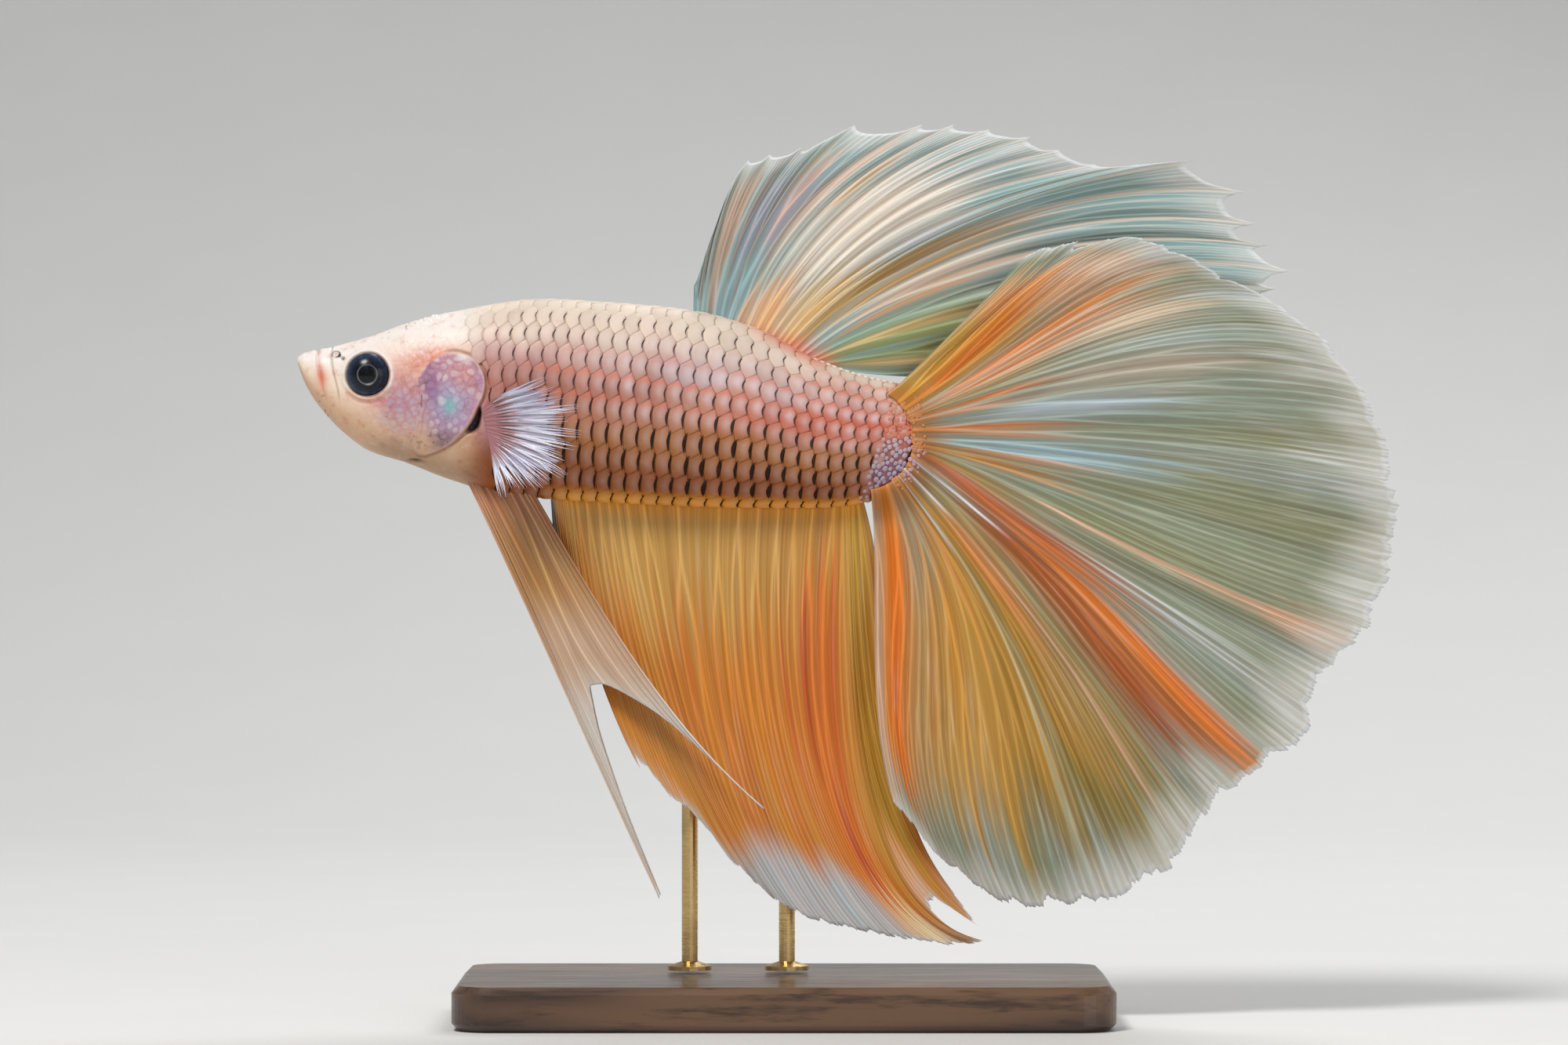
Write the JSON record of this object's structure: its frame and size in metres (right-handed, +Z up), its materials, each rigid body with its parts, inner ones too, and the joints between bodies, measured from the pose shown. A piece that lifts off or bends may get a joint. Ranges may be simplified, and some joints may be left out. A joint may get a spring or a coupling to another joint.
{
  "type": "betta fish model",
  "caption": "Life-size still model of a halfmoon betta with flared fins, facing left, held over a small plinth by slim rods.",
  "frame": {"origin": "centre of the plinth's underside, on the surface that the stand rests on", "axes": "+Z up; the fish faces -X; its left side is towards -Y"},
  "size_m": [0.0751, 0.025, 0.0605],
  "materials": {
    "skin": "painted cream, pink and peach under a clear satin coat",
    "gill": "pearly lilac and blue, glossy",
    "eye": "near black, wet gloss",
    "pale_fin": "thin milky film with cream rays, satin",
    "tail_fin": "thin milky film with orange and white rays, satin",
    "orange_fin": "thin orange film with darker rays, satin",
    "pectoral": "clear white film with silky rays, satin",
    "plinth_wood": "dark stained, satin varnish",
    "rod_brass": "satin"
  },
  "bodies": {
    "root": {"head": "skin", "lower_jaw": "skin", "trunk": "skin", "tail_base": "skin", "gill_cover_left": "gill", "gill_cover_right": "gill", "eye_left": "eye", "eye_right": "eye", "dorsal_fin": "pale_fin", "caudal_fin": "tail_fin", "anal_fin": "orange_fin", "pelvic_fin_left": "orange_fin", "pelvic_fin_right": "orange_fin", "pectoral_fin_left": "pectoral", "pectoral_fin_right": "pectoral", "stand_plinth": "plinth_wood", "stand_rod_front": "rod_brass", "stand_rod_rear": "rod_brass"}
  },
  "joints": []
}
